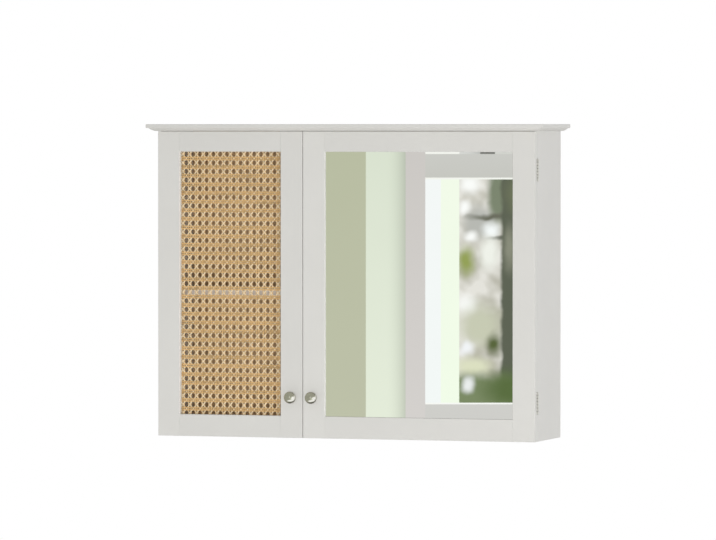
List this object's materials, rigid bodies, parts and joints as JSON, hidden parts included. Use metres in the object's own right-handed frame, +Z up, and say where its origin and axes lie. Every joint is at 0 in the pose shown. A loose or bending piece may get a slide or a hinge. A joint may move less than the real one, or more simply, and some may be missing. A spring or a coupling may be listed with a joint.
{
  "type": "bathroom mirror cabinet",
  "caption": "Wall-hung bathroom cabinet with a woven cane door, a mirror door, a moulded top, round knobs, butt hinges and movable shelves behind the doors.",
  "frame": {"origin": "middle of the four wall screws, on the rear plane that meets the wall", "axes": "+X to the right as seen from the front, +Y back into the wall, +Z up"},
  "size_m": [0.793, 0.1985, 0.6],
  "materials": {
    "painted_board": "satin white paint over smooth fibreboard",
    "painted_hardboard": "light birch-coloured lacquer over hardboard",
    "rail_wood": "bare planed softwood",
    "woven_cane": "natural cane, light satin",
    "mirror": "silvered float glass",
    "hardboard": "bare brown hardboard",
    "knob_metal": "polished nickel plate",
    "hinge_steel": "satin nickel plate",
    "pin_steel": "dark oiled steel",
    "zinc_fittings": "bright zinc plate",
    "dowel_wood": "bare beech",
    "catch_plastic": "moulded white nylon",
    "magnet": "ground ferrite",
    "bumper": "soft clear silicone"
  },
  "bodies": {
    "cabinet": {"left_side_panel": "painted_board", "right_side_panel": "painted_board", "centre_partition": "painted_board", "bottom_panel": "painted_board", "moulded_top": "painted_board", "back_panel": "painted_hardboard", "upper_wall_rail": "rail_wood", "lower_wall_rail": "rail_wood", "left_shelf": "painted_board", "right_shelf": "painted_board", "left_shelf_pins": "zinc_fittings", "right_shelf_pins": "zinc_fittings", "cam_locks": "zinc_fittings", "cam_bolts": "zinc_fittings", "dowels": "dowel_wood", "left_catch_case": "catch_plastic", "right_catch_case": "catch_plastic", "catch_magnets": "magnet", "catch_screws": "zinc_fittings", "left_upper_hinge_case_leaf": "hinge_steel", "left_lower_hinge_case_leaf": "hinge_steel", "right_upper_hinge_case_leaf": "hinge_steel", "right_lower_hinge_case_leaf": "hinge_steel", "left_upper_hinge_pin": "pin_steel", "left_lower_hinge_pin": "pin_steel", "right_upper_hinge_pin": "pin_steel", "right_lower_hinge_pin": "pin_steel", "case_hinge_screws": "zinc_fittings"},
    "left_door": {"left_door_hinge_stile": "painted_board", "left_door_lock_stile": "painted_board", "left_door_top_rail": "painted_board", "left_door_bottom_rail": "painted_board", "cane_panel": "woven_cane", "cane_side_beads": "painted_board", "cane_end_beads": "painted_board", "left_knob": "knob_metal", "left_knob_screw": "zinc_fittings", "left_upper_hinge_door_leaf": "hinge_steel", "left_lower_hinge_door_leaf": "hinge_steel", "left_door_hinge_screws": "zinc_fittings", "left_strike_plate": "zinc_fittings", "left_strike_screws": "zinc_fittings", "left_door_bumpers": "bumper"},
    "right_door": {"right_door_hinge_stile": "painted_board", "right_door_lock_stile": "painted_board", "right_door_top_rail": "painted_board", "right_door_bottom_rail": "painted_board", "mirror_glass": "mirror", "mirror_backing": "hardboard", "mirror_clips": "zinc_fittings", "mirror_clip_screws": "zinc_fittings", "right_knob": "knob_metal", "right_knob_screw": "zinc_fittings", "right_upper_hinge_door_leaf": "hinge_steel", "right_lower_hinge_door_leaf": "hinge_steel", "right_door_hinge_screws": "zinc_fittings", "right_strike_plate": "zinc_fittings", "right_strike_screws": "zinc_fittings", "right_door_bumpers": "bumper"}
  },
  "joints": [
    {"name": "left_door_hinge", "type": "hinge", "parent": "cabinet", "child": "left_door", "pos_m": [-0.378, -0.1625, 0], "axis": [0, 0, -1], "range_deg": [0, 180]},
    {"name": "right_door_hinge", "type": "hinge", "parent": "cabinet", "child": "right_door", "pos_m": [0.378, -0.1625, 0], "axis": [0, 0, 1], "range_deg": [0, 180]}
  ]
}
